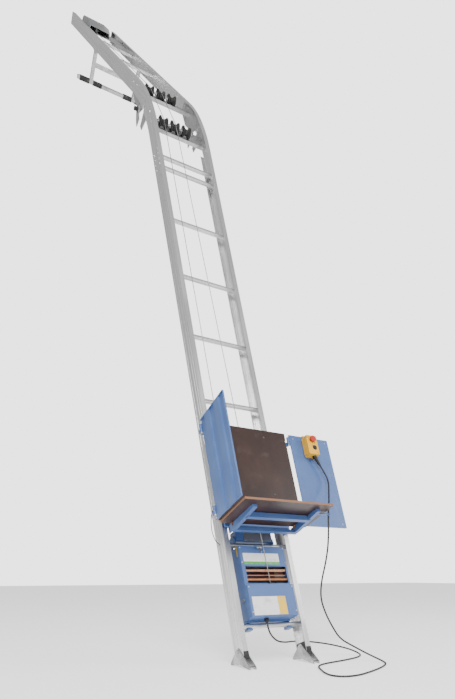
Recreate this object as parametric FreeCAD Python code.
"""A builder's inclined ladder hoist: leaning rails, a folding head, a rope winch and a carriage.

Shapes are drawn upright in the ladder's own frame: x to the right, d back from the rail fronts and
s up the rails.  The finished ladder is then leaned back, so its feet stand on the floor at z = 0.
"""
import FreeCAD
import Part
import math
import os

from FreeCAD import Vector

os.makedirs("parts", exist_ok=True)

# ---- driving dimensions, in mm and degrees ----
lean = 20.0            # how far the ladder leans back from upright
fold = 24.0            # how far the head folds back from the ladder, as it stands
fold_more = 20.0       # how much further the head can fold
fold_less = 4.0        # how much it can straighten
ladder_w = 440.0       # over both rails
rail_face = 31.0       # width of a rail's front face
rail_deep = 102.0      # front to back of a rail
rail_wall = 4.0
rail_foot = 70.0       # where the rails start, up the ladder
section_end = 3697.0   # joint between the long section and the knee section
bend_start = 3965.0    # where the rails begin to curve
bend_r = 1720.0        # radius of the rails' front faces through the knee
head_len = 2890.0      # straight part of the head rails
rung_pitch = 486.0
first_rung = 244.0
rung_count = 8
knee_rung = 3752.0     # first rung of the knee section
rung_r = 15.0
rope_r = 2.5
rope_d = 12.0          # depth of the rope below the rail fronts
spool_groove_r = 22.0
spool_flange_r = 38.0
spool_w = 58.0
spool_pitch = 90.0
platform_s = 811.0     # height of the platform's loading face, up the ladder
platform_w = 570.0
platform_deep = 300.0
back_h = 640.0
run = 0.05             # radial clearance of a running fit
gap = 0.4              # plain gap between parts that move past each other

# ---- sizes that follow ----
half_w = ladder_w / 2
inner_x = half_w - rail_face
web_x = half_w - rail_wall
rung_d = rail_deep / 2
half_fold = fold / 2
spool_d = rope_d + spool_groove_r + rope_r + 0.3
rope_a_x = -125.0                      # rope down to the carriage
rope_b_x = rope_a_x + spool_pitch      # rope down to the winch
spool_xs = [rope_a_x, rope_b_x, rope_b_x + spool_pitch]
lower_spool_s = bend_start + 135.0
upper_spool_l = -50.0
pivot_deep = 20.0      # of the knee's hinge pins below the rail fronts

nodes = {}


def cosd(a):
    return math.cos(math.radians(a))


def sind(a):
    return math.sin(math.radians(a))


def block(x0, x1, d0, d1, s0, s1):
    return Part.makeBox(x1 - x0, d1 - d0, s1 - s0, Vector(x0, d0, s0))


def rod_x(r, x0, x1, d, s):
    return Part.makeCylinder(r, x1 - x0, Vector(x0, d, s), Vector(1, 0, 0))


def rod_d(r, d0, d1, x, s):
    return Part.makeCylinder(r, d1 - d0, Vector(x, d0, s), Vector(0, 1, 0))


def rod_s(r, s0, s1, x, d):
    return Part.makeCylinder(r, s1 - s0, Vector(x, d, s0), Vector(0, 0, 1))


def tube_x(r, wall, x0, x1, d, s):
    return rod_x(r, x0, x1, d, s).cut(rod_x(r - wall, x0 - 1, x1 + 1, d, s))


def plate(points, x0, x1):
    """A flat plate across x, outlined by (d, s) corners."""
    corners = [Vector(x0, d, s) for d, s in points]
    wire = Part.makePolygon(corners + [corners[0]])
    return Part.Face(wire).extrude(Vector(x1 - x0, 0, 0))


def mirrored(shape):
    return shape.mirror(Vector(0, 0, 0), Vector(1, 0, 0))


def both(shape):
    return [shape, mirrored(shape)]


def curve_point(turn, deep, bend):
    """A point at a depth below the rail front, part way round the knee's curve."""
    r = bend_r - deep
    return (bend_r - r * cosd(turn), bend + r * sind(turn))


def leaned(shape):
    out = shape.copy()
    out.rotate(Vector(0, 0, 0), Vector(1, 0, 0), -lean)
    return out


def headed(shape):
    """From the head's own upright frame to its folded place on the ladder, then leaned."""
    out = shape.copy()
    out.rotate(Vector(0, 0, 0), Vector(1, 0, 0), -fold)
    d, s = curve_point(fold, 0, bend_start)
    out.translate(Vector(0, d, s))
    return leaned(out)


def keep(name, shapes, place=leaned):
    shapes = shapes if isinstance(shapes, list) else [shapes]
    placed = [place(shape) for shape in shapes]
    whole = placed[0] if len(placed) == 1 else Part.makeCompound(placed)
    whole.exportStep("parts/" + name + ".step")
    nodes[name] = whole


# ---- rails: a channel with its web outside and flanges turned in, bent at the knee ----
def bent_bar(x0, x1, d0, d1, tip, bend, turn):
    """A bar of depth d0 to d1, straight from tip to bend and then curved through turn."""
    corner = [(d0, tip), (d0, bend), (d1, bend), (d1, tip)]
    edges = [Part.LineSegment(Vector(x0, *corner[0]), Vector(x0, *corner[1]))]
    front = [Vector(x0, *curve_point(t, d0, bend)) for t in (0, turn / 2, turn)]
    back = [Vector(x0, *curve_point(t, d1, bend)) for t in (turn, turn / 2, 0)]
    edges.append(Part.Arc(*front))
    edges.append(Part.LineSegment(front[2], back[0]))
    edges.append(Part.Arc(*back))
    edges.append(Part.LineSegment(back[2], Vector(x0, *corner[3])))
    edges.append(Part.LineSegment(Vector(x0, *corner[3]), Vector(x0, *corner[0])))
    wire = Part.Wire([edge.toShape() for edge in edges])
    return Part.Face(wire).extrude(Vector(x1 - x0, 0, 0))


def bent_channel(tip, bend, turn, back_end):
    """The left rail of a bent pair; its back flange stops short, to let the knee plates out."""
    web = bent_bar(-half_w, -web_x, 0, rail_deep, tip, bend, turn)
    front = bent_bar(-half_w, -inner_x, 0, rail_wall, tip, bend, turn)
    back = block(-half_w, -inner_x, rail_deep - rail_wall, rail_deep, min(tip, back_end),
                 max(tip, back_end))
    return web.fuse([front, back]).removeSplitter()


def straight_channel(s0, s1):
    whole = block(-half_w, -inner_x, 0, rail_deep, s0, s1)
    hollow = block(-web_x, -inner_x + 1, rail_wall, rail_deep - rail_wall, s0 - 1, s1 + 1)
    return whole.cut(hollow)


knee_pivot = curve_point(half_fold, pivot_deep, bend_start)
head_pivot = curve_point(-half_fold, pivot_deep, 0)
mitre_gap = 3.0
opened = (fold_more + 1.5) / 2         # cut back behind the pivot, so that the head can fold
closed = (fold_less + 1.5) / 2         # cut back in front of it, so that it can straighten


def mitre(rail, pivot, side):
    """Cuts a rail end square to the curve, then at a slant each way to leave room to fold."""
    for extra in (0.0, opened, -closed):
        low, high = (-mitre_gap / 2, 500) if side > 0 else (-500, mitre_gap / 2)
        cutter = block(-half_w - 5, half_w + 5, -80, 300, low, high)
        cutter.rotate(Vector(0, 0, 0), Vector(1, 0, 0), -side * (half_fold + extra))
        cutter.translate(Vector(0, *pivot))
        rail = rail.cut(cutter)
    return rail


bolt_r = 5.0
splice_len = 190.0
splice_ds = [20.0, 82.0]
splice_ss = [section_end + k for k in (-70.0, -25.0, 25.0, 70.0)]
splice_holes = [(d, s) for d in splice_ds for s in splice_ss]
pin_r = 6.0
foot_pin = (rung_d, 105.0)


def with_holes(shape, holes, r, x0, x1):
    for d, s in holes:
        shape = shape.cut(rod_x(r, x0, x1, d, s))
    return shape


rail = straight_channel(rail_foot, section_end - gap / 2)
rail = with_holes(rail, [h for h in splice_holes if h[1] < section_end], bolt_r + run, -half_w - 1, 0)
rail = with_holes(rail, [foot_pin], pin_r + run, -half_w - 1, 0)
keep("rail_left", rail)
keep("rail_right", mirrored(rail))

knee_rail = bent_channel(section_end + gap / 2, bend_start, half_fold, bend_start + 35)
knee_rail = mitre(knee_rail, knee_pivot, 1)
knee_rail = with_holes(knee_rail, [h for h in splice_holes if h[1] > section_end], bolt_r + run,
                       -half_w - 1, 0)
quadrant_bolts = [(40.0, 4060.0), (40.0, 4160.0)]
knee_rail = with_holes(knee_rail, quadrant_bolts, bolt_r + run, -half_w - 1, 0)
keep("knee_rail_left", knee_rail)
keep("knee_rail_right", mirrored(knee_rail))

head_rail = bent_channel(head_len, 0, -half_fold, 130)
head_rail = mitre(head_rail, head_pivot, -1)
bracket_bolts = [(40.0, -40.0), (40.0, 70.0)]
head_rail = with_holes(head_rail, bracket_bolts, bolt_r + run, -half_w - 1, 0)
keep("head_rail_left", head_rail, headed)
keep("head_rail_right", mirrored(head_rail), headed)

# ---- rungs: round tubes welded between the webs ----
rung_ss = [first_rung + rung_pitch * i for i in range(rung_count)] + [knee_rung]
keep("rungs", [tube_x(rung_r, 2.0, -web_x, web_x, rung_d, s) for s in rung_ss])

# ---- splice plates and their bolts, joining the two lower sections ----
splice_t = 5.0
splices = []
for d in splice_ds:
    strip = block(-web_x, -web_x + splice_t, d - 11, d + 11, section_end - splice_len / 2,
                  section_end + splice_len / 2)
    splices += both(with_holes(strip, [h for h in splice_holes if h[0] == d], bolt_r + run,
                               -web_x - 1, 0))
keep("splice_plates", splices)


def bolt(d, s, grip):
    """A bolt from outside a rail: head on the web, nut inside after the grip."""
    head = rod_x(8.5, -half_w - 5, -half_w, d, s)
    shank = rod_x(bolt_r, -half_w, -half_w + grip + 7, d, s)
    nut = rod_x(8.5, -half_w + grip, -half_w + grip + 6, d, s)
    return head.fuse([shank, nut]).removeSplitter()


quadrant_t = 5.0
base_bolts = []
for d, s in splice_holes + quadrant_bolts:
    base_bolts += both(bolt(d, s, rail_wall + splice_t))
keep("base_bolts", base_bolts)

# ---- feet: forked steel triangles on pins through the rail ends ----
end_block_s = (rail_foot - 14.0, foot_pin[1] + 25.0)
end_block = block(-web_x, -inner_x, rail_wall, rail_deep - rail_wall, rail_foot, end_block_s[1])
end_block = end_block.fuse(block(-half_w, -inner_x, 0, rail_deep, end_block_s[0], rail_foot))
end_block = end_block.fuse(block(-half_w, -inner_x, -4, 0, end_block_s[0], rail_foot + 26))
end_block = end_block.removeSplitter()
end_block = end_block.cut(rod_x(pin_r + run, -half_w - 1, 0, *foot_pin))
keep("rail_end_blocks", both(end_block))

foot_t = 5.0
pin_y = foot_pin[0] * cosd(lean) + foot_pin[1] * sind(lean)
pin_z = foot_pin[1] * cosd(lean) - foot_pin[0] * sind(lean)
foot_front_y = -50.0
foot_back_y = 165.0


def standing(shape):
    return shape


def foot():
    """Two triangular cheeks and a sole web, drawn straight in the standing frame."""
    outline = [(foot_front_y, 0), (foot_front_y + 16, 0), (pin_y, 16), (foot_back_y - 16, 0),
               (foot_back_y, 0), (foot_back_y - 2, 14), (pin_y + 22, pin_z + 6),
               (pin_y, pin_z + 20), (pin_y - 22, pin_z + 6), (foot_front_y + 2, 14)]
    outer = -half_w - gap
    inner = -inner_x + gap
    shape = plate(outline, outer - foot_t, outer).fuse(plate(outline, inner, inner + foot_t))
    for y0, y1 in ((foot_front_y + 4, foot_front_y + 30), (foot_back_y - 30, foot_back_y - 4)):
        shape = shape.fuse(block(outer - 1, inner + 1, y0, y1, 9, 14))
    shape = shape.removeSplitter()
    shape = shape.cut(rod_x(pin_r + run, outer - 20, inner + 20, pin_y, pin_z))
    for y in (foot_front_y + 16, foot_back_y - 16):
        shape = shape.cut(rod_x(3.0, outer - 20, outer + 1, y, 7))
    return shape


foot_shape = foot()
keep("foot_left", foot_shape, standing)
keep("foot_right", mirrored(foot_shape), standing)

# ---- knee: hinge plates with a curved slot below, brackets and clamp knobs above ----
slot_r = 205.0         # from the knee pivot to the clamp bolt
slot_w = 12.5
knob_angle = 34.0      # of the clamp bolt above square-back, as it stands
knob_r = 6.0


def polar(r, angle, centre):
    """Round the knee pivot: angle 0 is straight back, positive is up."""
    return (centre[0] + r * cosd(angle), centre[1] + r * sind(angle))


def sector(r0, r1, a0, a1, x0, x1, centre):
    arcs = []
    for r in (r0, r1):
        arcs.append([Vector(x0, *polar(r, a, centre)) for a in (a0, (a0 + a1) / 2, a1)])
    edges = [Part.Arc(*arcs[0]).toShape(), Part.Arc(*arcs[1]).toShape(),
             Part.LineSegment(arcs[0][0], arcs[1][0]).toShape(),
             Part.LineSegment(arcs[0][2], arcs[1][2]).toShape()]
    wire = Part.Wire(Part.__sortEdges__(edges))
    return Part.Face(wire).extrude(Vector(x1 - x0, 0, 0))


slot_low = knob_angle - fold_more - 2.0
slot_high = knob_angle + fold_less + 2.0
qx = (-web_x, -web_x + quadrant_t)
hub_r = pivot_deep - rail_wall - 1
quadrant = sector(slot_r - 32, slot_r + 32, slot_low - 8, slot_high + 8, *qx, knee_pivot)
arm = plate([(24, 4030), (70, 4030), (92, 4180), (knee_pivot[0] + 168, knee_pivot[1] - 110),
             (knee_pivot[0] + 175, knee_pivot[1] - 60), knee_pivot, (24, 4190)], *qx)
quadrant = quadrant.fuse([arm, rod_x(hub_r, *qx, *knee_pivot)]).removeSplitter()
quadrant = quadrant.cut(sector(slot_r - slot_w / 2, slot_r + slot_w / 2, slot_low, slot_high,
                               qx[0] - 1, qx[1] + 1, knee_pivot))
knee_pin_r = 8.0
quadrant = quadrant.cut(rod_x(knee_pin_r + run, -half_w, 0, *knee_pivot))
quadrant = with_holes(quadrant, quadrant_bolts, bolt_r + run, -half_w, 0)
keep("knee_quadrants", both(quadrant))

pins = []
foot_pin_x = half_w + gap + foot_t
pin = rod_x(pin_r, -foot_pin_x - 3, -inner_x + gap + foot_t + 3, *foot_pin)
pin = pin.fuse(rod_x(pin_r + 4, -foot_pin_x - 7, -foot_pin_x - gap, *foot_pin)).removeSplitter()
pins += both(pin)
bx = (qx[1] + gap, qx[1] + gap + quadrant_t)
pin = rod_x(knee_pin_r, qx[0], bx[1] + 6, *knee_pivot)
pin = pin.fuse(rod_x(knee_pin_r + 4, bx[1] + gap, bx[1] + 7, *knee_pivot)).removeSplitter()
pins += both(pin)

# brackets, in the head's frame: a plate by the quadrant, spaced off the web by two bosses
knob_at = polar(slot_r, knob_angle + fold, head_pivot)
bracket = plate([(head_pivot[0] - 8, head_pivot[1] - 14), (head_pivot[0] + 30, head_pivot[1] - 18),
                 polar(slot_r - 10, knob_angle + fold - 9, head_pivot),
                 polar(slot_r + 26, knob_angle + fold - 7, head_pivot),
                 polar(slot_r + 24, knob_angle + fold + 8, head_pivot), (150, -60), (92, 105),
                 (24, 105), (24, -120)], *bx)
for d, s in bracket_bolts:
    bracket = bracket.fuse(rod_x(14, -web_x, bx[0], d, s))
bracket = bracket.removeSplitter()
bracket = with_holes(bracket, bracket_bolts, bolt_r + run, -half_w, 0)
bracket = bracket.cut(rod_x(knee_pin_r + run, -half_w, 0, *head_pivot))
bracket = bracket.cut(rod_x(knob_r + run, -half_w, 0, *knob_at))
keep("knee_brackets", both(bracket), headed)

knob = rod_x(15, -web_x - 26, -web_x - gap, *knob_at)
for k in range(6):
    knob = knob.cut(rod_x(4, -web_x - 30, -web_x, knob_at[0] + 17 * cosd(60 * k),
                          knob_at[1] + 17 * sind(60 * k)))
knob = knob.fuse(rod_x(knob_r, -web_x - 1, bx[1] + 9, *knob_at))
knob = knob.fuse(rod_x(knob_r + 4, bx[1] + gap, bx[1] + 7, *knob_at)).removeSplitter()
keep("lock_knobs", both(knob), headed)

# ---- spools that turn the ropes through the knee, three below and three above ----
spool_axle_r = 8.0


def spool(x, d, s):
    """A flanged roller with a round-bottomed groove, turned about x."""
    w = spool_w / 2
    profile = [(-w, spool_axle_r + run), (-w, spool_flange_r), (-w + 7, spool_flange_r),
               (-8, spool_groove_r), (8, spool_groove_r), (w - 7, spool_flange_r),
               (w, spool_flange_r), (w, spool_axle_r + run)]
    corners = [Vector(x + px, d, s + pr) for px, pr in profile]
    face = Part.Face(Part.makePolygon(corners + [corners[0]]))
    return face.revolve(Vector(x, d, s), Vector(1, 0, 0), 360)


def spool_carrier(d, s, reach):
    """A folded cross plate behind the spools, with an ear each side of every spool."""
    back = d + spool_flange_r + 8
    shape = block(-reach, reach, back, back + 5, s - 45, s + 55)
    shape = shape.fuse(block(-reach, reach, back - 22, back, s - 45, s - 40))
    shape = shape.fuse(block(-reach, reach, back - 22, back, s + 50, s + 55))
    for x in spool_xs:
        for side in (-1, 1):
            ear = x + side * (spool_w / 2 + 5)
            shape = shape.fuse(block(ear - 3, ear + 3, d - 14, back, s - 14, s + 14))
    shape = shape.removeSplitter()
    return shape.cut(rod_x(spool_axle_r + run, -inner_x, inner_x, d, s))


spool_names = ["left", "middle", "right"]
axle_ends = (spool_xs[0] - spool_w / 2 - 14, spool_xs[2] + spool_w / 2 + 14)
for name, x in zip(spool_names, spool_xs):
    keep("lower_spool_" + name, spool(x, spool_d, lower_spool_s))
    keep("upper_spool_" + name, spool(x, spool_d, upper_spool_l), headed)
keep("knee_crossplate", spool_carrier(spool_d, lower_spool_s, -qx[1]))
keep("head_crossplate", spool_carrier(spool_d, upper_spool_l, -bx[1]), headed)
pins.append(rod_x(spool_axle_r, *axle_ends, spool_d, lower_spool_s))
keep("base_pins_and_axle", pins)

# ---- head: two cross tubes, the flat return sheave under its guard, and end caps ----
sheave_l = 2330.0
sheave_x = (rope_a_x + rope_b_x) / 2
sheave_rope_r = spool_pitch / 2
sheave_groove_r = sheave_rope_r - rope_r - 0.2
sheave_w = 16.0
sheave_axle_r = 8.0
deck_d = rope_d + sheave_w / 2 + 4
tube_ls = [1150.0, 1960.0]
keep("head_tubes", [tube_x(14, 2.0, -web_x, web_x, rung_d, s) for s in tube_ls], headed)

profile = [(-sheave_w / 2, sheave_axle_r + run), (-sheave_w / 2, sheave_groove_r + 8),
           (-sheave_w / 2 + 2, sheave_groove_r + 8), (-2, sheave_groove_r), (2, sheave_groove_r),
           (sheave_w / 2 - 2, sheave_groove_r + 8), (sheave_w / 2, sheave_groove_r + 8),
           (sheave_w / 2, sheave_axle_r + run)]
corners = [Vector(sheave_x + pr, rope_d + pd, sheave_l) for pd, pr in profile]
sheave = Part.Face(Part.makePolygon(corners + [corners[0]]))
sheave = sheave.revolve(Vector(sheave_x, 0, sheave_l), Vector(0, 1, 0), 360)
for k in range(5):
    sheave = sheave.cut(rod_d(7, -20, 60, sheave_x + 24 * cosd(72 * k), sheave_l + 24 * sind(72 * k)))
keep("sheave", sheave, headed)

# the guard: a deck under the sheave, a hood over it, and flanges to both rails
hood_l = (sheave_l - 230, sheave_l + 210)
hood_top = -46.0
deck = block(-inner_x - 14, inner_x + 14, deck_d, deck_d + 4, *hood_l)
hood_outline = [(deck_d, hood_l[0] + 20), (hood_top + 25, hood_l[0] + 40), (hood_top, hood_l[0] + 120),
                (hood_top, hood_l[1] - 60), (hood_top + 22, hood_l[1] - 10), (deck_d, hood_l[1])]
hood_in = [(deck_d + 1, hood_l[0] + 10), (hood_top + 29, hood_l[0] + 42), (hood_top + 4, hood_l[0] + 121),
           (hood_top + 4, hood_l[1] - 62), (hood_top + 24, hood_l[1] - 13), (deck_d + 1, hood_l[1] - 4)]
hood = plate(hood_outline, -inner_x + 4, sheave_x + 90)
hood = hood.cut(plate(hood_in, -inner_x + 7, sheave_x + 87))
mouth = block(-inner_x + 12, sheave_x + 80, -18, deck_d, hood_l[0] - 20, hood_l[0] + 90)
hood = hood.cut(mouth)
guard = deck.fuse(hood).removeSplitter()
guard = guard.cut(rod_d(sheave_axle_r + run, -80, 60, sheave_x, sheave_l))
keep("sheave_guard", guard, headed)
sheave_axle = rod_d(sheave_axle_r, hood_top - 4, deck_d + 14, sheave_x, sheave_l)
sheave_axle = sheave_axle.fuse(rod_d(13, deck_d + 4, deck_d + 12, sheave_x, sheave_l))
sheave_axle = sheave_axle.fuse(rod_d(13, hood_top - 7, hood_top, sheave_x, sheave_l)).removeSplitter()
upper_axle = rod_x(spool_axle_r, *axle_ends, spool_d, upper_spool_l)
head_axles = [sheave_axle, upper_axle]
for d, s in bracket_bolts:
    head_axles += both(bolt(d, s, bx[1] + half_w))
keep("head_axles_and_bolts", head_axles, headed)

end_cap = block(-half_w, -inner_x, 0, rail_deep, head_len, head_len + 12)
end_cap = end_cap.fuse(block(-web_x, -inner_x, rail_wall, rail_deep - rail_wall, head_len - 25, head_len))
keep("head_end_caps", both(end_cap.removeSplitter()), headed)

# ---- roof rest: two legs, a brace and a long cross tube with rubber sleeves ----
rest_l = 1600.0
rest_deep = 350.0
rest_half = 330.0
rest_r = 18.0
leg_x = half_w - 15.5
leg = block(-leg_x - 15, -leg_x + 15, rail_deep, rest_deep, rest_l - 15, rest_l + 15)
leg_top = block(-half_w, -inner_x, rail_deep, rail_deep + 5, rest_l - 60, rest_l + 60)
rest = tube_x(rest_r, 2.5, -rest_half, rest_half, rest_deep, rest_l)
brace = block(-leg_x, leg_x, 190, 230, rest_l - 4, rest_l + 4)
rest_frame = rest.fuse(both(leg) + both(leg_top) + [brace])
rest_frame = rest_frame.cut(rod_x(rest_r - 2.5, -rest_half - 1, rest_half + 1, rest_deep, rest_l))
keep("roof_rest", rest_frame.removeSplitter(), headed)
sleeves = []
for wall, x0, x1 in ((5, -rest_half + 20, -leg_x - 18), (4, -leg_x + 18, -105)):
    sleeves += both(tube_x(rest_r + wall, wall, x0, x1, rest_deep, rest_l))
keep("rest_sleeves", sleeves, headed)

# ---- carriage: a welded frame on four rollers that run inside the rail fronts ----
roller_r = 13.0
roller_w = 18.0
roller_axle_r = 6.0
roller_d = rail_wall + gap + roller_r
plate_x = inner_x - 5.0
plate_t = 5.0
roller_ss = [platform_s + 30, platform_s + 400]
frame_front = -78.0
frame_low = platform_s - 30
frame_high = platform_s + back_h - 30
beam = 40.0
beam_t = 8.0

side = block(-plate_x, -plate_x + plate_t, frame_front, -4, frame_low, frame_high)
for s in roller_ss:
    side = side.fuse(block(-plate_x, -plate_x + plate_t, -10, roller_d + 12, s - 20, s + 20))
    side = side.fuse(rod_x(roller_axle_r, -inner_x - 4 - roller_w, -plate_x, roller_d, s))
    pad = block(-plate_x - 28, -plate_x, -26, -gap - 6, s - 24, s + 24)
    side = side.fuse(pad)
frame = side.fuse(mirrored(side))
for s in (frame_low, platform_s + 180, platform_s + 380, frame_high - beam):
    frame = frame.fuse(block(-plate_x, plate_x, frame_front, frame_front + beam_t, s, s + beam))
arm_x = 205.0
arm_t = 24.0
arm_len = platform_deep - 20
for x in (-arm_x, arm_x):
    frame = frame.fuse(plate([(frame_front, frame_low - 22), (frame_front, platform_s - 14),
                              (frame_front - arm_len, platform_s - 14),
                              (frame_front - arm_len, platform_s - 34),
                              (frame_front - 60, frame_low - 22)], x - arm_t / 2, x + arm_t / 2))
frame = frame.fuse(block(-arm_x, arm_x, frame_front - 30, frame_front, frame_low - 22, frame_low - 4))
front_beam = block(-arm_x, arm_x, frame_front - 190, frame_front - 160, platform_s - 46, platform_s - 16)
frame = frame.fuse(front_beam)

# hinge posts at the back board's edges, and the eye that holds the control cable
hinge_x = platform_w / 2 + 15
hinge_d = frame_front - 13
hinge_r = 5.0
knuckle = 26.0
hinge_ss = [platform_s + 40, platform_s + back_h - 80]
eye_x = arm_x + 96
eye = (eye_x, frame_front - arm_len + 40, platform_s - 26)
frame = frame.fuse(block(arm_x, eye_x - 5, eye[1] - 6, eye[1] + 6, eye[2] - 4, eye[2] + 4))
cable_r = 5.0
grommet_h = 8.0
grommet = rod_s(cable_r + 4, eye[2] - grommet_h, eye[2] + grommet_h, eye[0], eye[1])
grommet.rotate(Vector(*eye), Vector(1, 0, 0), lean)
frame = frame.fuse(grommet)
for side_sign in (-1, 1):
    for s in hinge_ss:
        x0 = side_sign * (plate_x - 10)
        x1 = side_sign * (hinge_x - 3)
        lug = block(min(x0, x1), max(x0, x1), frame_front + 2, frame_front + 8, s, s + knuckle)
        knuckle_shape = rod_s(hinge_r + 4, s, s + knuckle, side_sign * hinge_x, hinge_d)
        knuckle_x = side_sign * hinge_x
        web = block(knuckle_x - 4, knuckle_x + 4, hinge_d, frame_front + 8, s, s + knuckle)
        frame = frame.fuse([lug, web, knuckle_shape])
lug_s = frame_high - 10
rope_lug = block(rope_a_x - 14, rope_a_x + 14, frame_front + beam_t - 1, rope_d + 8, lug_s - 10, lug_s)
frame = frame.fuse(rope_lug)
frame = frame.removeSplitter()
for side_sign in (-1, 1):
    frame = frame.cut(rod_s(hinge_r + run, platform_s - 40, platform_s + back_h + 40,
                            side_sign * hinge_x, hinge_d))
platform_gap = 14.0    # behind the platform, for its back edge to swing
platform_back = frame_front - 12.0 - platform_gap
platform_t = 13.0
pivot_d = platform_back - 12.0
pivot_s = platform_s - platform_t - 8.0
pivot_r = 4.0
for x in (-arm_x, arm_x):
    pin = rod_x(pivot_r, x - arm_t / 2 - 7, x + arm_t / 2 + 7, pivot_d, pivot_s)
    frame = frame.fuse(pin)
frame = frame.removeSplitter()
keep("carriage_frame", frame)

for high, s in zip(("lower", "upper"), roller_ss):
    for name, sign in (("left", -1), ("right", 1)):
        x0 = -inner_x - 2 - roller_w
        wheel = rod_x(roller_r, x0, x0 + roller_w, roller_d, s)
        wheel = wheel.cut(rod_x(roller_axle_r + run, x0 - 1, x0 + roller_w + 1, roller_d, s))
        keep("roller_" + name + "_" + high, wheel if sign < 0 else mirrored(wheel))

slide_pads = []
for s in roller_ss:
    slide_pads += both(block(-plate_x - 27, -plate_x - 1, -gap - 6, -gap, s - 22, s + 22))
keep("slide_pads", slide_pads)

# ---- load platform: plywood back board, folding platform and two side panels ----
board_t = 12.0
back_board = block(-platform_w / 2 + 4, platform_w / 2 - 4, frame_front - board_t, frame_front,
                   platform_s + 10, platform_s + back_h)
for side_sign in (-1, 1):
    for s in hinge_ss:
        x0 = side_sign * (platform_w / 2 - 8)
        x1 = side_sign * (platform_w / 2 + 30)
        notch = block(min(x0, x1), max(x0, x1), -200, 0, s - 6, s + knuckle + 6)
        back_board = back_board.cut(notch)
keep("back_board", back_board)

platform = block(-platform_w / 2 + 2, platform_w / 2 - 2, platform_back - platform_deep,
                 platform_back, platform_s - platform_t, platform_s)
for x in (-arm_x, arm_x):
    platform = platform.cut(block(x - arm_t / 2 - gap, x + arm_t / 2 + gap, pivot_d - 12, platform_back + 1,
                                  platform_s - platform_t - 1, platform_s + 1))
    for side_sign in (-1, 1):
        lug_x = x + side_sign * (arm_t / 2 + gap + 2.5)
        lug = block(lug_x - 2.5, lug_x + 2.5, pivot_d - 9, pivot_d + 9, pivot_s, platform_s - platform_t)
        lug = lug.fuse(rod_x(9, lug_x - 2.5, lug_x + 2.5, pivot_d, pivot_s))
        platform = platform.fuse(lug.cut(rod_x(pivot_r + run, lug_x - 4, lug_x + 4, pivot_d, pivot_s)))
keep("platform_board", platform.removeSplitter())


def side_panel():
    """The left panel, closed: a flat blue leaf with two pressed ribs, a lip and two knuckles."""
    x = -hinge_x
    d1 = hinge_d - hinge_r - 6
    d0 = platform_back - platform_deep
    s0 = platform_s + 4
    s1 = platform_s + back_h - 6
    leaf = block(x - 3, x + 3, d0, d1, s0, s1)
    for k in (0.3, 0.68):
        d = d0 + (d1 - d0) * k
        leaf = leaf.fuse(block(x - 8, x - 3, d - 9, d + 9, s0 + 20, s1 - 20))
    leaf = leaf.fuse(block(x - 8, x + 3, d0, d0 + 6, s0, s1))
    leaf = leaf.fuse(block(x - 8, x + 3, d0, d1, s1 - 6, s1))
    leaf = leaf.fuse(block(x - 8, x + 3, d0, d1, s0, s0 + 6))
    for s in hinge_ss:
        low = s + knuckle + gap
        leaf = leaf.fuse(rod_s(hinge_r + 4, low, low + knuckle, x, hinge_d))
        leaf = leaf.fuse(block(x - 3, x + 3, d1 - 2, hinge_d, low, low + knuckle))
    leaf = leaf.removeSplitter()
    return leaf.cut(rod_s(hinge_r + run, s0 - 20, s1 + 20, x, hinge_d))


left_panel = side_panel()
right_panel = mirrored(left_panel)
right_panel.rotate(Vector(hinge_x, hinge_d, 0), Vector(0, 0, 1), 90)
keep("left_panel", left_panel)
keep("right_panel", right_panel)

hinge_rods = []
for side_sign in (-1, 1):
    for s in hinge_ss:
        pin = rod_s(hinge_r, s - 4, s + 2 * knuckle + 6, side_sign * hinge_x, hinge_d)
        pin = pin.fuse(rod_s(hinge_r + 3, s - 4, s - gap, side_sign * hinge_x, hinge_d))
        hinge_rods.append(pin.removeSplitter())
keep("hinge_rods", hinge_rods)

# ---- winch: hung on one rung and hooked round the next one down ----
hang_s = first_rung + rung_pitch
case_x = 150.0
case_wall = 3.0
case_s = (460.0, 700.0)
case_d = (-22.0, 96.0)
cover_s = (272.0, 460.0)
cover_d = (-44.0, 96.0)
top_box_x = (-130.0, 112.0)
top_box_s = (750.0, 815.0)
top_box_d = (24.0, 88.0)
hook_t = 8.0
drum_s = 385.0
drum_d = 20.0
drum_core_r = 45.5
drum_flange_r = 58.0
drum_rope_r = drum_core_r + rope_r + 0.3
lever_s = 688.0
lever_d = -34.0
lever_pin_r = 4.0


def shell(x0, x1, d0, d1, s0, s1, wall, open_low, open_high):
    whole = block(x0, x1, d0, d1, s0, s1)
    low = s0 - 1 if open_low else s0 + wall
    high = s1 + 1 if open_high else s1 - wall
    return whole.cut(block(x0 + wall, x1 - wall, d0 + wall, d1 - wall, low, high))


case = shell(-case_x, case_x, *case_d, *case_s, case_wall, True, False)
window = block(-case_x + 22, case_x - 10, case_d[0] - 1, case_d[0] + case_wall + 1, 474, 576)
case = case.cut(window)
for x in (-46, -7):
    ear = block(x, x + 5, lever_d - 7, case_d[0], lever_s - 7, lever_s + 7)
    case = case.fuse(ear)
case = case.fuse(rod_x(lever_pin_r, -44, -4, lever_d, lever_s))
keep("winch_case", case.removeSplitter())

cover = shell(-case_x, case_x, *cover_d, cover_s[0], cover_s[1] - gap, case_wall, False, True)
lip = block(-case_x, case_x, cover_d[0], case_d[0], cover_s[1] - 3, cover_s[1] - gap)
cover = cover.fuse(lip).removeSplitter()
cover = cover.cut(block(-75, 75, cover_d[0] + 4, case_d[0] + 1, cover_s[1] - 10, cover_s[1] + 1))
cover = cover.cut(rod_x(10 + run, -case_x - 1, -case_x + 10, drum_d, drum_s))
gland_x = -40.0
cover = cover.cut(rod_s(9 + run, cover_s[0] - 1, cover_s[0] + 10, gland_x, 0))
keep("winch_cover", cover)


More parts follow.
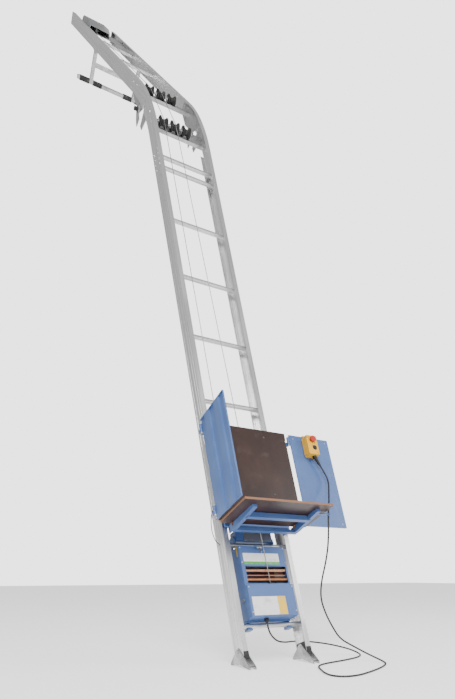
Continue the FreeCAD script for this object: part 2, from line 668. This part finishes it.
def hook_plate(x0, x1):
    """A blue cheek that rises from the case behind the rung and hooks forward over it."""
    outline = [(rung_d + rung_r + 0.3, case_s[1]), (case_d[1], case_s[1]), (case_d[1], hang_s + 40),
               (60, hang_s + 62), (28, hang_s + 40), (22, hang_s + 8), (rung_d, hang_s + 8),
               (rung_d + rung_r + 0.3, hang_s)]
    shape = plate(outline, x0, x1)
    return shape.cut(rod_x(rung_r + 0.3, x0 - 1, x1 + 1, rung_d, hang_s))


winch_frame = shell(*top_box_x, *top_box_d, *top_box_s, 3, False, False)
cheek_x = case_x - hook_t
for x in (-cheek_x, top_box_x[1]):
    winch_frame = winch_frame.fuse(hook_plate(x, x + hook_t))
winch_frame = winch_frame.fuse(block(-cheek_x, top_box_x[0], 60, 88, hang_s + 22, hang_s + 40))
bar_s = (first_rung + rung_r + 3, cover_s[0])
winch_frame = winch_frame.fuse(block(-case_x + 4, case_x - 4, 40, 90, *bar_s))
for x in (-case_x + 4, case_x - 34):
    claw = block(x, x + 30, 62, 82, first_rung - 26, bar_s[0])
    claw = claw.fuse(block(x, x + 30, 34, 82, first_rung - 26, first_rung - rung_r - 0.3))
    claw = claw.cut(rod_x(rung_r + 0.3, x - 1, x + 31, rung_d, first_rung))
    winch_frame = winch_frame.fuse(claw)
keep("winch_frame", winch_frame.removeSplitter())
gland = rod_s(9, cover_s[0] - 22, cover_s[0] + 6, gland_x, 0).fuse(
    rod_s(13, cover_s[0] - 14, cover_s[0] - gap, gland_x, 0))
gland_end = cover_s[0] - 22
keep("winch_gland", gland.removeSplitter())

guide_rods = [rod_x(r, -case_x + case_wall, case_x - case_wall, -6, s)
              for r, s in ((11.0, 556.0), (5.0, 526.0), (11.0, 500.0))]
keep("guide_rods", guide_rods)

drum = rod_x(drum_core_r, -62, 62, drum_d, drum_s)
for x in (-62, 58):
    drum = drum.fuse(rod_x(drum_flange_r, x, x + 4, drum_d, drum_s))
wraps = [Part.makeTorus(drum_rope_r, rope_r, Vector(x, drum_d, drum_s), Vector(1, 0, 0))
         for x in [-55 + 5.3 * k for k in range(11)]]
drum = drum.fuse(wraps)
drum = drum.fuse(rod_x(10, -case_x - 6, 88, drum_d, drum_s)).removeSplitter()
keep("drum", drum)

motor = rod_x(36, -110, 76, 48, 606)
for k in range(8):
    motor = motor.fuse(rod_x(39, -100 + 18 * k, -95 + 18 * k, 48, 606))
gearbox = block(76, 136, 12, 88, 330, 640)
gearmotor = motor.fuse(gearbox).removeSplitter()
gearmotor = gearmotor.cut(rod_x(10 + run, 70, 90, drum_d, drum_s))
keep("gearmotor", gearmotor)

# the slack-rope lever: a flat finger hinged under the top box
lever = rod_x(7, -40, -8, lever_d, lever_s).fuse(
    plate([(lever_d - 5, lever_s), (lever_d + 5, lever_s), (lever_d - 14, lever_s - 38),
           (lever_d - 24, lever_s - 34)], -27, -21))
lever = lever.removeSplitter().cut(rod_x(lever_pin_r + run, -48, 0, lever_d, lever_s))
keep("slack_rope_lever", lever)

# ---- ropes: round sweeps along straight runs and tangent arcs ----
def pipe(edges, r):
    """A round bar along a chain of straight and curved edges."""
    shapes = [edge.toShape() for edge in edges]
    wire = Part.Wire(shapes)
    first = edges[0]
    start = first.value(first.FirstParameter)
    tangent = first.tangent(first.FirstParameter)[0]
    ring = Part.Wire(Part.makeCircle(r, start, tangent))
    return wire.makePipeShell([ring], True, False)


def on_ladder(n, l):
    """A point of the head's own frame, as (d, s) on the ladder."""
    d, s = curve_point(fold, 0, bend_start)
    return (d + n * cosd(fold) + l * sind(fold), s - n * sind(fold) + l * cosd(fold))


spool_rope_r = spool_groove_r + rope_r + 0.3
low_c = (spool_d, lower_spool_s)
high_c = on_ladder(spool_d, upper_spool_l)
knee_turn = math.degrees(math.atan2(high_c[0] - low_c[0], high_c[1] - low_c[1]))


def on_spool(x, centre, r, turn):
    """Where a rope that has turned this far back from upright lies on a spool's front."""
    return Vector(x, centre[0] - r * cosd(turn), centre[1] + r * sind(turn))


def spool_arc(x, centre, r, turn0, turn1):
    return Part.Arc(*[on_spool(x, centre, r, t) for t in (turn0, (turn0 + turn1) / 2, turn1)])


drum_x = 15.0
span = (low_c[0] - drum_d, low_c[1] - drum_s)
drum_turn = math.degrees(math.atan2(span[0], span[1])
                         + math.asin((drum_rope_r - spool_rope_r) / math.hypot(*span)))
run_up = [on_spool(drum_x, (drum_d, drum_s), drum_rope_r, drum_turn),
          on_spool(rope_b_x, low_c, spool_rope_r, drum_turn)]
winch_rope = [Part.LineSegment(*run_up),
              spool_arc(rope_b_x, low_c, spool_rope_r, drum_turn, knee_turn),
              Part.LineSegment(on_spool(rope_b_x, low_c, spool_rope_r, knee_turn),
                               on_spool(rope_b_x, high_c, spool_rope_r, knee_turn))]
keep("rope_to_winch", pipe(winch_rope, rope_r))

carriage_rope = [Part.LineSegment(Vector(rope_a_x, rope_d, lug_s),
                                  on_spool(rope_a_x, low_c, spool_rope_r, 0)),
                 spool_arc(rope_a_x, low_c, spool_rope_r, 0, knee_turn),
                 Part.LineSegment(on_spool(rope_a_x, low_c, spool_rope_r, knee_turn),
                                  on_spool(rope_a_x, high_c, spool_rope_r, knee_turn))]
keep("rope_to_carriage", pipe(carriage_rope, rope_r))

own_c = (spool_d, upper_spool_l)
start_turn = knee_turn - fold + 0.6     # a hair past the ropes that come up to the spools
head_rope = [spool_arc(rope_b_x, own_c, spool_rope_r, start_turn, 0),
             Part.LineSegment(Vector(rope_b_x, rope_d, upper_spool_l), Vector(rope_b_x, rope_d, sheave_l)),
             Part.Arc(Vector(rope_b_x, rope_d, sheave_l),
                      Vector(sheave_x, rope_d, sheave_l + sheave_rope_r),
                      Vector(rope_a_x, rope_d, sheave_l)),
             Part.LineSegment(Vector(rope_a_x, rope_d, sheave_l), Vector(rope_a_x, rope_d, upper_spool_l)),
             spool_arc(rope_a_x, own_c, spool_rope_r, 0, start_turn)]
keep("rope_over_head", pipe(head_rope, rope_r), headed)

# ---- pendant control, hung by its hook on the open right panel's top edge ----
case_w = 80.0
pendant_x = 400.0
pendant_top = platform_s + back_h - 26
pendant_h = 135.0
pendant_deep = 62.0
panel_face = hinge_d - 3.0
pendant_back = panel_face - 1.0
pendant = block(pendant_x, pendant_x + case_w, pendant_back - pendant_deep, pendant_back,
                pendant_top - pendant_h, pendant_top)
pendant = pendant.makeFillet(6, [e for e in pendant.Edges])
panel_top = platform_s + back_h - 6
hook_mid = pendant_x + 22
pendant = pendant.fuse(block(hook_mid - 8, hook_mid + 8, pendant_back - 6, pendant_back - 1,
                             pendant_top - 20, panel_top + 5))
pendant = pendant.fuse(block(hook_mid - 8, hook_mid + 8, pendant_back - 6, hinge_d + 13,
                             panel_top + 1, panel_top + 5))
pendant = pendant.fuse(block(hook_mid - 8, hook_mid + 8, hinge_d + 9, hinge_d + 13,
                             panel_top - 18, panel_top + 5))
pendant = pendant.removeSplitter()
front = pendant_back - pendant_deep
stop_at = (pendant_x + 36, pendant_top - 34)
button_at = (pendant_x + 48, pendant_top - 88)
stop_stem = 11.0
button_r = 12.0
pendant = pendant.cut(rod_d(stop_stem + run, front - 1, front + 30, *stop_at))
pendant = pendant.cut(rod_d(button_r + run, front - 1, front + 20, *button_at))
keep("pendant_case", pendant)
stop_press = 5.0
stop = rod_d(stop_stem, front - stop_press - 2, front + 30 - stop_press - 1, *stop_at)
stop = stop.fuse(rod_d(20, front - stop_press - 14, front - stop_press - 1, *stop_at)).removeSplitter()
keep("stop_button", stop)
button_press = 4.0
keep("run_button", rod_d(button_r, front - button_press - 1, front + 20 - button_press - 1, *button_at))

relief_top = (pendant_x + 55, pendant_back - 30, pendant_top - pendant_h)
relief_way = Vector(30, 0, -64)
relief_way.normalize()
relief_cone = Part.makeCone(11, cable_r + 2.5, 66, Vector(*relief_top), relief_way)
collar = rod_s(14, relief_top[2] - 12, relief_top[2], relief_top[0], relief_top[1])
relief_body = relief_cone.fuse(collar).removeSplitter()
relief_body = relief_body.cut(block(relief_top[0] - 40, relief_top[0] + 40, relief_top[1] - 40,
                                    relief_top[1] + 40, relief_top[2], relief_top[2] + 30))
keep("pendant_cable_relief", relief_body)
relief_end = Vector(*relief_top) + relief_way * 66


# ---- control cable: hand-laid runs with round bends, in the standing frame ----
def cord(points, r):
    """Straight runs between the points, each corner rounded by 0.45 of its shorter run."""
    points = [Vector(*p) for p in points]
    edges = []
    radii = []
    at = points[0]
    for k in range(1, len(points) - 1):
        back_way = points[k - 1] - points[k]
        on_way = points[k + 1] - points[k]
        cut = 0.45 * min(back_way.Length, on_way.Length)
        back_way.normalize()
        on_way.normalize()
        half = (math.pi - back_way.getAngle(on_way)) / 2
        radius = cut / math.tan(half)
        radii.append(round(radius))
        middle = back_way + on_way
        middle.normalize()
        mid = points[k] + middle * (radius / math.cos(half) - radius)
        a = points[k] + back_way * cut
        b = points[k] + on_way * cut
        edges.append(Part.LineSegment(at, a))
        edges.append(Part.Arc(a, mid, b))
        at = b
    edges.append(Part.LineSegment(at, points[-1]))
    shape = pipe(edges, r)
    length = sum(edge.toShape().Length for edge in edges)
    return shape, length, radii


def standing_point(x, d, s):
    return (x, s * sind(lean) + d * cosd(lean), s * cosd(lean) - d * sind(lean))


upper_start = standing_point(*relief_end)
eye_stand = standing_point(*eye)
upper_route = [upper_start, (520, 276, 1125), (498, 228, 1062), (432, 140, 1000), (366, 52, 955),
               (314, -20, 922), (eye_stand[0], eye_stand[1], eye_stand[2] + grommet_h + 2)]
lower_route = [(eye_stand[0], eye_stand[1], eye_stand[2] - grommet_h - 1), (303, -32, 700), (290, -22, 575),
               (268, -8, 465), (264, -4, 365), (290, -20, 275), (322, -42, 200), (358, -66, 132),
               (425, -108, 88), (500, -150, 42), (545, -205, 12), (520, -280, 5), (440, -350, 5.5),
               (345, -410, 5), (240, -465, 5.5), (135, -510, 5), (45, -512, 5.5), (8, -450, 5),
               (30, -360, 5.5), (75, -270, 5), (120, -180, 5.5), (185, -118, 5), (275, -88, 5.5),
               (375, -62, 5), (475, -30, 5.5), (560, 8, 5.5), (620, 60, 10), (605, 128, 32), (520, 150, 58),
               (435, 190, 78), (350, 233, 90), (262, 232, 98), (180, 185, 104), (104, 126, 110),
               (28, 86, 124), (-18, 71, 157), (-40, 71, 195), standing_point(gland_x, 0, gland_end)]
for name, route in (("control_cable_upper", upper_route), ("control_cable_lower", lower_route)):
    shape, length, radii = cord(route, cable_r)
    print(name, "length", round(length), "bend radii", radii, "volume over section",
          round(shape.Volume / (math.pi * cable_r ** 2)))
    keep(name, shape, standing)

# a thin switch lead, clipped to the left rail's outer face in a shallow loop
lead_r = 2.5
lead_d = 60.0
lead_route = [(-half_w - lead_r, lead_d, 735), (-half_w - 26, lead_d, 762), (-half_w - 38, lead_d, 815),
              (-half_w - 34, lead_d, 880), (-half_w - 20, lead_d, 935), (-half_w - lead_r, lead_d, 962)]
shape, length, radii = cord(lead_route, lead_r)
print("switch_lead length", round(length), "bend radii", radii)
keep("switch_lead", shape)

# ---- a note of the whole ----
box = nodes["rail_left"].BoundBox
for shape in nodes.values():
    box = box.united(shape.BoundBox)
print(len(nodes), "nodes; size", [round(v) for v in (box.XLength, box.YLength, box.ZLength)],
      "from", [round(v) for v in (box.XMin, box.YMin, box.ZMin)])
for name, shape in nodes.items():
    if not shape.isValid():
        print("not valid:", name)

# ---- joint places, for the record ----
def stand(d, s):
    return [round(v / 1000, 5) for v in standing_point(0, d, s)[1:]]


print("pivots", {"knee": stand(*knee_pivot), "lower_spool": stand(*low_c), "upper_spool": stand(*high_c),
                 "knob": stand(*on_ladder(*knob_at)), "sheave": stand(*on_ladder(rope_d, sheave_l)),
                 "rollers": [stand(roller_d, s) for s in roller_ss], "hinges": stand(hinge_d, platform_s),
                 "platform": stand(pivot_d, pivot_s), "drum": stand(drum_d, drum_s),
                 "lever": stand(lever_d, lever_s), "foot": [pin_y / 1000, pin_z / 1000],
                 "rest": stand(*on_ladder(rest_deep, rest_l)), "eye": eye_stand,
                 "relief_end": list(upper_start), "gland": stand(0, gland_end)})
